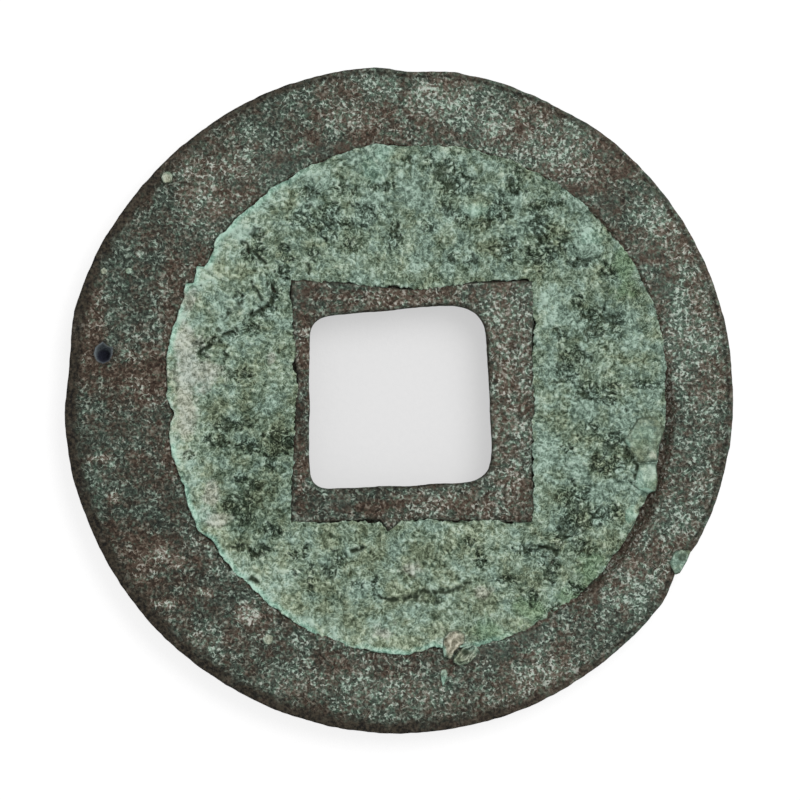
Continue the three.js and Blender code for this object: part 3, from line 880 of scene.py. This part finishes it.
# %% Patches of the reverse crust
DARK_PATCHES = (
    (254, 252, 15, 8), (272, 290, 8, 13), (262, 311, 17, 6), (248, 326, 11, 7), (240, 296, 6, 6),
    (232, 333, 9, 6), (203, 351, 9, 9), (214, 340, 6, 6), (225, 358, 4, 9), (285, 248, 7, 6),
    (256, 233, 7, 7), (283, 272, 8, 8), (313, 255, 6, 8), (288, 259, 10, 4), (309, 192, 13, 7),
    (301, 217, 14, 10), (345, 223, 10, 8), (326, 229, 12, 14), (331, 209, 12, 8), (365, 212, 14, 12),
    (352, 243, 10, 6), (395, 232, 8, 12), (380, 188, 14, 5), (338, 188, 8, 6), (239, 375, 10, 6),
    (450, 180, 15, 22), (471, 192, 6, 6), (500, 207, 9, 16), (515, 186, 8, 16), (541, 225, 14, 19),
    (561, 244, 7, 11), (550, 205, 11, 5), (532, 209, 5, 8), (506, 247, 13, 12), (540, 255, 18, 14),
    (463, 218, 8, 7), (485, 221, 8, 8), (451, 259, 8, 5), (471, 259, 6, 6), (430, 160, 6, 8),
    (407, 160, 5, 5), (428, 226, 8, 6), (452, 212, 6, 5), (580, 262, 14, 6), (611, 275, 10, 8),
    (577, 301, 8, 6), (592, 316, 16, 10), (595, 331, 14, 9), (560, 336, 6, 8), (616, 321, 9, 12),
    (578, 355, 16, 7), (568, 374, 14, 11), (588, 391, 12, 12), (609, 396, 8, 12), (643, 385, 16, 5),
    (612, 441, 12, 10), (588, 431, 10, 9), (567, 448, 6, 5), (602, 465, 15, 9), (630, 453, 5, 12),
    (571, 500, 14, 13), (575, 521, 15, 21), (584, 494, 7, 10), (560, 537, 8, 10), (604, 515, 20, 8),
    (582, 545, 12, 9), (549, 566, 10, 16), (530, 551, 20, 5), (555, 546, 4, 12), (505, 579, 12, 4),
    (533, 595, 8, 10), (556, 611, 11, 8), (575, 590, 12, 6), (229, 426, 15, 8), (214, 441, 13, 7),
    (246, 445, 12, 9), (281, 440, 15, 14), (270, 461, 6, 14), (240, 478, 9, 6), (256, 485, 8, 7),
    (190, 456, 8, 6), (240, 504, 20, 10), (246, 518, 9, 10), (274, 531, 10, 6), (240, 546, 6, 6),
    (262, 551, 12, 7), (293, 555, 7, 6), (305, 553, 4, 6), (295, 572, 6, 4), (310, 582, 5, 16),
    (340, 561, 8, 9), (330, 572, 9, 5), (375, 583, 4, 9), (470, 541, 7, 6), (480, 556, 6, 14),
    (437, 600, 8, 5), (358, 585, 8, 5),
)
LIGHT_PATCHES = (
    (385, 158, 12, 14), (452, 153, 18, 11), (320, 172, 26, 10), (285, 196, 22, 12), (250, 222, 18, 14),
    (222, 250, 16, 16), (350, 200, 20, 6), (470, 208, 12, 8), (505, 178, 9, 5), (552, 213, 13, 6),
    (445, 226, 10, 14), (590, 236, 13, 10), (538, 334, 8, 9), (601, 364, 10, 10), (615, 388, 12, 10),
    (556, 350, 8, 6), (543, 300, 9, 26), (545, 400, 10, 14), (543, 455, 9, 24), (576, 455, 10, 16),
    (596, 531, 14, 7), (590, 572, 8, 14), (568, 599, 10, 7), (515, 548, 6, 6), (483, 592, 6, 5),
    (440, 606, 9, 5), (413, 569, 6, 5), (400, 584, 5, 10), (385, 638, 24, 10), (430, 640, 30, 12),
    (480, 533, 34, 10), (280, 574, 16, 14), (340, 262, 30, 12), (630, 512, 6, 10), (408, 240, 12, 16),
    (240, 310, 8, 6), (274, 365, 8, 12), (400, 270, 40, 8),
)
CREAM_PATCHES = (
    (184, 300, 10, 16), (186, 345, 14, 26), (192, 372, 20, 18), (186, 410, 12, 32), (206, 370, 14, 14),
    (211, 494, 9, 12), (218, 520, 12, 8), (271, 358, 5, 7), (385, 634, 10, 6), (455, 640, 12, 8),
    (411, 569, 8, 7), (483, 593, 8, 7),
)
TURQUOISE_PATCHES = (
    (383, 156, 9, 9), (372, 170, 10, 12), (474, 210, 14, 8), (590, 238, 12, 8), (646, 488, 10, 6),
)
VIVID_PATCHES = (
    (490, 633, 20, 11), (590, 572, 12, 18), (568, 598, 12, 8), (530, 610, 16, 12), (625, 265, 12, 26),
)
CRACKS_AND_FLAKE_SHADOW = (
    ((378, 596), (390, 600), (402, 598), (425, 603)), ((404, 600), (428, 592), (449, 592), (470, 584)),
    ((243, 242), (250, 252), (257, 254), (264, 264)), ((252, 284), (258, 292), (262, 302)),
    ((268, 282), (273, 291), (271, 303), (264, 310), (249, 315)),
    ((214, 338), (211, 343), (207, 349), (199, 354)), ((218, 330), (226, 333), (231, 334), (236, 330)),
    ((308.6, 265), (308.6, 274)), ((247, 581), (257, 581)), ((224, 316), (230, 312), (237, 308)),
    ((239, 303), (243, 296)), ((540, 547), (552, 548), (556, 556), (552, 564)),
    # a painted shadow beside the east flake's left side, pressed in like a crack
    ((624, 446), (631, 456), (636, 463), (637, 470), (634, 480)),
)
SLIT_PIT = ((352, 551), (364, 547))
DARKER_GROUND = (258, 470, 60, 110)
PALER_GROUND = (245, 245, 70, 60)

# %% Crumbs, creases and crevices
SWELLS = ((2.6, 0.05), (1.1, 0.05))
CREASES = (0.5, 1.0)
CRUMBS = (0.22, 1.0)
GRAINS = (0.12, 1.0)
CREVICE_DEPTH = 0.15


def crumbly_ground(place, dark):
    """The rise of crust at a place, the painted shade of its crevices and creases, and its relief shading.
    Crevices open where it is dark.
    """
    creases = abs(layers(place, CREASES))
    crumbs = abs(layers(place, CRUMBS))
    fine = layers(place, GRAINS)
    crease = soft(creases, 0.08, 0.0) * soft(layers(place, (1.6, 1.0)), 0.0, 0.7)
    cleft = min(abs(layers(place, (0.42, 1.0))), abs(layers(place, (0.25, 1.0))))
    open_ground = soft(dark + layers(place, (0.7, 0.9), (0.3, 0.7)), 0.2, 0.6)
    crevice_and_shade = soft(cleft, 0.1 * dark + 0.01, 0.04 * dark) * open_ground
    lift = layers(place, *SWELLS) + 0.09 * creases + 0.09 * crumbs + 0.035 * fine
    lift -= 0.05 * crease + CREVICE_DEPTH * crevice_and_shade + 0.01 * dark
    # painted shade darkens the crevices and the creases
    hollow = min(0.68 * crevice_and_shade + 0.25 * crease, 1.0)
    # painted light and shade that follow the height: high crumbs paler, creases darker
    relief = 0.2 + 1.1 * crumbs + 0.6 * creases + 0.4 * fine - 0.12 * dark
    return lift, hollow, relief


# %% [markdown]
# Along the lit side of the field the crust climbs the wall. There it is painted paler in a band of painted
# light, with a turquoise fringe that is partly fresh crust and partly painted light. On the shaded side it
# sinks towards its edge. Cracks are pressed into it last and darkened with painted shade; the last of them is
# a painted shadow beside the east flake.

# %% Relief of the reverse crust
LIT_BEARING = 206
NORTH_BEARING = 95
PALE_BEARING = 174
COOL_BEARING = 50
CRACK_SIZE = (0.1, 0.1)
SLIT_SIZE = (0.12, 0.14)
coats = [bm.verts.layers.float.new(name) for name in CRUST_PAINT]
hollow, crumbly, light, relief, cool, cream, turquoise, vivid = coats
brush = Brush(bm)
brush.paint(crumbly, DARK_PATCHES)
brush.paint(light, LIGHT_PATCHES)
brush.paint(cream, CREAM_PATCHES, 0.4)
brush.paint(light, CREAM_PATCHES, 1.1)
brush.paint(turquoise, TURQUOISE_PATCHES, 0.35)
brush.paint(vivid, VIVID_PATCHES, 0.6)
for vert in bm.verts:
    place = vert.co.copy()
    offset = place.xy - CRUST.centre
    bearing = math.atan2(offset.y, offset.x)
    from_edge = -CRUST.beyond(place)
    top = soft(place.z, FIELD_FLOOR + 0.02, CRUST_LEVEL - 0.05)
    vert[cool] = soft(turned(bearing, COOL_BEARING), 130, 60) - 0.5
    lit = soft(turned(bearing, LIT_BEARING), 105, 70)
    north = soft(turned(bearing, NORTH_BEARING), 60, 35)
    shaded = (1 - lit) * (1 - north)
    at_edge = soft(from_edge, 0.3, 0.0)
    rise = (0.1 * lit + 0.06 * north) * soft(from_edge, 1.2, 0.0) + (0.04 * north + 0.03 * lit) * at_edge
    rise -= 0.06 * shaded * at_edge
    # depth here is the painted shade of crevices and creases, not a depth
    lift, depth, vert[relief] = crumbly_ground(place, vert[crumbly])
    vert.co.z += top * (lift + rise + 0.02 * vert[light])
    vert[hollow] = top * depth
    # painted light: a pale band along the lit side of the field, palest in the west
    band = lit * soft(from_edge, 1.1, 0.3) * soft(layers(place, (0.9, 0.6)), -0.5, 0.1)
    vert[light] = max(0.8 * vert[light] * (1 + layers(place, (0.3, 1.0))), 1.1 * band)
    vert[light] += 0.8 * band * soft(turned(bearing, PALE_BEARING), 45, 20)
    # one broad patch of the crust is painted paler and another darker
    vert[light] += 0.4 * dab(place, PALER_GROUND) - 0.65 * soft(dab(place, DARKER_GROUND), 0.2, 0.8)
    # a turquoise fringe at the edge on the lit side: partly the fresh crust's colour, partly painted light
    broken = soft(layers(place, (1.2, 1.0), (0.3, 0.5)), -0.4, 0.2)
    fringe = soft(from_edge, 0.26, 0.06) * lit * broken
    vert[turquoise] = max(0.95 * fringe, vert[turquoise])

for crack in CRACKS_AND_FLAKE_SHADOW:
    brush.press(hollow, light, [spot(*point) for point in crack], *CRACK_SIZE)
brush.press(hollow, light, [spot(*point) for point in SLIT_PIT], *SLIT_SIZE)
new_piece("reverse_crust", bm, crust_green, "verdigris_crust", "reverse_field_crust")

# %% [markdown]
# ## The crust in the obverse field
#
# The other side lies on the paper. It has the same crust in its wider field, between the rim and the narrow
# inner rim. The photograph doesn't show it, so noise chooses where it is crumbly and where it is pale.

# %% Obverse crust
OBVERSE_CRUST_RADIUS = 9.48
OBVERSE_CRUST_FACE = 0.1
OBVERSE_CRUST_WANDER = ((0.9, 0.1), (0.3, 0.08))
OBVERSE_CRUST_LOWEST = 0.01
OBVERSE_CRUST_POINTS = 720
OBVERSE_CRUST_RELIEF = 0.8


def obverse_crust_reach(bearing):
    return OBVERSE_CRUST_RADIUS - 0.02 + ragged(bearing, OBVERSE_CRUST_RADIUS, OBVERSE_CRUST_WANDER)


OBVERSE_CRUST = Outline((0, 0), OBVERSE_CRUST_RADIUS, obverse_crust_reach)
crust = Ring(OBVERSE_CRUST_POINTS, HOLE, OBVERSE_INNER_RIM_WIDTH + 0.08, OBVERSE_CRUST_FACE)
crust.grow(OBVERSE_CRUST, 0, OBVERSE_CRUST_FACE, 48)
crust.grow(OBVERSE_CRUST, -0.04, OBVERSE_FIELD_DEPTH)
crust.grow(HOLE, OBVERSE_INNER_RIM_WIDTH + 0.1, OBVERSE_FIELD_DEPTH, 1)
bm = crust.close()
hollow, crumbly, light, relief = map(bm.verts.layers.float.new, CRUST_PAINT[:4])
for vert in bm.verts:
    place = vert.co.copy()
    face = soft(place.z, OBVERSE_CRUST_FACE + 0.08, OBVERSE_CRUST_FACE)
    vert[crumbly] = soft(layers(place, (2.2, 1.0), (0.8, 0.6)), 0.1, 0.5)
    vert[light] = soft(layers(place, (2.8, 1.0), (0.7, 0.5)), 0.2, -0.3) * 0.6
    # depth here is the painted shade of crevices and creases; the relief layer paints the crumbs' tops paler
    lift, depth, vert[relief] = crumbly_ground(place, vert[crumbly])
    vert.co.z = max(place.z - face * OBVERSE_CRUST_RELIEF * lift, OBVERSE_CRUST_LOWEST)
    vert[hollow] = face * depth
new_piece("obverse_crust", bm, crust_green, "verdigris_crust", "obverse_field_crust")

# %% [markdown]
# ## Nodules and warts
#
# Where corrosion broke out in one place it built a nodule, harder and paler than the crust round it. Most
# are flakes with corners, so each one's outline is traced through the corners that the photograph shows.
# Its foot and its height come from the frame, and a root below the foot holds it in whatever it grew on.
# From the foot the outline grows up into a mound with a rounded shoulder, which is then roughened. Painted
# shade, with no crevice carved under it, darkens parts of it just inside its rim.

# %% Outlines of the nodules
EAST_FLAKE = (
    (623, 440), (629, 434), (638, 418), (654, 416), (665, 428), (661, 441), (657, 449), (657, 461),
    (638, 463), (633, 455),
)
EAST_FOOT = ((639, 464), (656, 463), (658, 480), (656, 491), (647, 494), (639, 490), (633, 486))
EAST_TAIL = ((633, 503), (640, 503), (639, 514), (630, 530), (624, 524), (625, 510))
SOUTH_PALE = (
    (444, 637), (449, 632), (458, 630), (465, 634), (465, 642), (460, 647), (454, 652), (451, 659),
    (444, 657), (442, 647),
)
SOUTH_SHELL = (
    (454, 657), (458, 651), (466, 646), (475, 645), (479, 650), (475, 658), (468, 664), (459, 666),
    (453, 662),
)
DROPLET = ((440, 673), (442, 669), (446, 669), (448, 673), (446, 680), (443, 688), (441, 680))
EDGE_CRUST = ((669, 563), (675, 551), (682, 549), (691, 551), (687, 561), (680, 573), (675, 575))

NODULES = {
    "east_flake": traced(*EAST_FLAKE),
    "east_flake_foot": traced(*EAST_FOOT),
    "east_flake_tail": traced(*EAST_TAIL),
    "south_nodule_pale": traced(*SOUTH_PALE),
    "south_nodule_shell": traced(*SOUTH_SHELL),
    "south_droplet": traced(*DROPLET),
    "edge_crust": traced(*EDGE_CRUST),
    "northwest_wart": rounded(167, 178, 6),
    "west_wart_outer": rounded(104, 271, 3.5),
    "west_wart_inner": rounded(129, 271, 3.5),
    "southwest_wart": rounded(268, 639, 5.5),
}

# %% [markdown]
# Each nodule is painted with the crust's layers: a layer, its strength, and a patch. The pale one in the
# south is streaked in arcs round a point beside it, and the burst one next to it is ringed.

# %% Patches of the nodules
NODULE_PAINT = {
    "east_flake": (
        ("vivid", 0.25, (642, 436, 14, 12)),
        ("light", 0.5, (642, 436, 16, 14)),
        ("light", 2.2, (653, 455, 6, 6)),
        ("cream", 0.4, (653, 455, 5, 5)),
        ("light", 0.9, (627, 445, 5, 7)),
        ("turquoise", 0.7, (627, 445, 4, 7)),
    ),
    "east_flake_foot": (
        ("light", 1.9, (649, 474, 12, 12)),
        ("cream", 0.3, (649, 473, 8, 8)),
        ("turquoise", 0.35, (646, 478, 12, 14)),
        ("turquoise", 0.9, (646, 492, 10, 3.5)),
        # painted shadow under the flake's foot
        ("hollow", 0.4, (647, 492, 8, 2)),
    ),
    "east_flake_tail": (
        ("light", 1.9, (632, 512, 6, 9)),
        ("turquoise", 0.6, (629, 516, 5, 9)),
    ),
    "south_nodule_pale": (
        ("cream", 0.9, (453, 642, 13, 14)),
        ("light", 0.5, (453, 641, 11, 12)),
        ("turquoise", 0.8, (443, 652, 3, 8)),
    ),
    "south_nodule_shell": (
        ("hollow", 1.0, (466, 652, 4, 3)),
        ("cream", 0.3, (466, 656, 8, 6)),
        ("light", 0.4, (466, 656, 8, 6)),
    ),
    "south_droplet": (
        ("turquoise", 0.5, (443, 682, 6, 8)),
        ("light", 2.0, (444, 672, 4, 4)),
    ),
    "edge_crust": (
        ("turquoise", 0.2, (677, 564, 12, 12)),
        ("light", 0.5, (675, 568, 5, 7)),
        ("hollow", 0.7, (683, 558, 4, 4)),
    ),
    "northwest_wart": (
        ("cream", 0.5, (167, 178, 5, 5)),
        ("light", 2.0, (166, 177, 5, 5)),
    ),
    "west_wart_outer": (
        ("light", 1.4, (104, 271, 4, 4)),
        ("cream", 0.4, (104, 271, 4, 4)),
    ),
    "west_wart_inner": (
        ("light", 1.4, (129, 271, 4, 4)),
    ),
    "southwest_wart": (
        ("cream", 0.4, (268, 639, 5, 5)),
        ("light", 1.8, (268, 639, 5, 5)),
    ),
}

# %% Nodules
RINGED = "south_nodule_shell"
STREAKED = "south_nodule_pale"
RIDGES = 2.5
STREAK_CENTRE = spot(470, 662)
STREAK_PITCH = 0.26
STREAK_WANDER = 1.5
RIDGE_HEIGHT = 0.025
NODULE_POINTS = 72
ROOT_DEPTH = 0.35
ROOT_INSET = -0.45
SHOULDER_HEIGHT = 0.24
SHOULDERS = ((0.0, 0.5, 2), (-0.06, 0.17, 1), (-0.18, 0.04, 2), (-0.92, 0.0, 9))
for name, outline in NODULES.items():
    foot, top = (corner.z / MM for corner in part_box(name))
    mound = Ring(NODULE_POINTS, outline, ROOT_INSET * outline.size, foot - ROOT_DEPTH)
    mound.grow(outline, 0, foot - 0.05, 2)
    for inset, share, cuts in SHOULDERS:
        mound.grow(outline, inset * outline.size, top - share * SHOULDER_HEIGHT, cuts)
    bm = mound.cap()
    coats = {coat: bm.verts.layers.float.new(coat) for coat in CRUST_PAINT}
    brush = Brush(bm)
    for coat, strength, patch in NODULE_PAINT[name]:
        brush.paint(coats[coat], [patch], strength)
    for vert in bm.verts:
        place = vert.co.copy()
        crumbs = abs(layers(place, CRUMBS))
        fine = layers(place, GRAINS)
        if vert.normal.z > 0.1:
            vert.co.z += 0.07 * crumbs + 0.03 * fine + layers(place, (0.5, 0.05)) - 0.05
        # painted light and shade that follow the height: high crumbs paler
        vert[coats["relief"]] = 0.25 + 1.1 * crumbs + 0.45 * fine
        beyond = outline.beyond(place) / outline.size
        # painted shade just inside the nodule's rim; nothing is carved there
        crevice_and_shade = soft(beyond, -0.14, -0.03) * soft(layers(place, (0.6, 1.0)), -0.5, 0.1)
        vert[coats["hollow"]] = max(vert[coats["hollow"]], 0.6 * crevice_and_shade)
        uneven = layers(place, (0.5, 0.5), (0.2, 0.25))
        ridge = 0.0
        if name == RINGED:
            ridge = math.cos(math.tau * RIDGES * (1 + beyond + uneven))
        if name == STREAKED:
            out = (place - STREAK_CENTRE).length / STREAK_PITCH
            ridge = math.cos(math.tau * (out + STREAK_WANDER * uneven))
        vert.co.z += RIDGE_HEIGHT * ridge
        # the ridges' crests painted paler and their troughs darker, as painted light and shade
        vert[coats["relief"]] += 0.6 * ridge
    new_piece("nodule_" + name, bm, nodule_green, "verdigris_nodule", name)

# %% [markdown]
# ## The floor, the light and the camera
#
# The floor is white paper. Only the camera and mirror-like surfaces see its added glow, so the paper is
# white without lighting the coin from below. The glow is weaker under the coin, where the hole shows the
# paper in the coin's shade.

# %% Floor
FLOOR_SIZE = 0.6
GLOW_IN_HOLE = 0.49
GLOW_GAINED = 0.29
GLOW_REACH = (0.006, 0.012)
PAPER_TONES = (rgb(142, 142, 143), rgb(152, 151, 151))
bpy.ops.mesh.primitive_plane_add(size=FLOOR_SIZE)
floor = bpy.context.object
floor.name = "floor"
paper = Finish("paper")
distance = paper.node("ShaderNodeVectorMath", {"operation": "LENGTH"}, {0: paper.place}, "Value")
light_path = paper.node("ShaderNodeLightPath").socket.node
rays = ("Camera", "Glossy", "Transmission")
seen = sum(Wire(paper, light_path.outputs[f"Is {kind} Ray"]) for kind in rays)
fibres = paper.noise(4.0, 4.0, 0.7)
tone = paper.blend(fibres, *PAPER_TONES)
glow = seen * (paper.between(distance, *GLOW_REACH) * GLOW_GAINED + GLOW_IN_HOLE)
paper.feed(paper.shader.inputs["Emission Color"], glow)
paper.feed(paper.shader.inputs["Emission Strength"], 1.0)
floor.data.materials.append(paper.surface(tone, 0.9, fibres, 0.01))

# %% [markdown]
# The light is a broad window to the upper right. The sky fills the shadows, and the sun shows the relief:
# it lights the field's wall at the lower left and leaves the one at the upper right in shade.

# %% Light
SKY_STRENGTH = 0.62
SUN_STRENGTH = 1.7
SUN_BEARING = math.radians(45)
SUN_HEIGHT = math.radians(50)
SUN_WIDTH = math.radians(40)
world = bpy.data.worlds.new("studio")
bpy.context.scene.world = world
world.use_nodes = True
world.node_tree.nodes["Background"].inputs["Color"].default_value = (1, 1, 1, 1)
world.node_tree.nodes["Background"].inputs["Strength"].default_value = SKY_STRENGTH
sideways = math.cos(SUN_HEIGHT)
towards_sun = Vector(
    (math.cos(SUN_BEARING) * sideways, math.sin(SUN_BEARING) * sideways, math.sin(SUN_HEIGHT))
)
sun_light = bpy.data.lights.new("window", "SUN")
sun_light.energy = SUN_STRENGTH
sun_light.angle = SUN_WIDTH
sun = bpy.data.objects.new("window", sun_light)
sun.rotation_euler = towards_sun.to_track_quat("Z", "Y").to_euler()
bpy.context.scene.collection.objects.link(sun)

# %% Camera
CAMERA_HEIGHT = 0.4
camera_data = bpy.data.cameras.new("camera")
camera = bpy.data.objects.new("camera", camera_data)
metres_per_pixel = MM / PIXELS_PER_MM
camera_data.lens = camera_data.sensor_width * CAMERA_HEIGHT / (PHOTO_SIZE * metres_per_pixel)
camera.location = spot(PHOTO_SIZE / 2, PHOTO_SIZE / 2) * MM + Vector((0, 0, CAMERA_HEIGHT))
bpy.context.scene.collection.objects.link(camera)
bpy.context.scene.camera = camera
bpy.context.scene.view_settings.view_transform = "Standard"
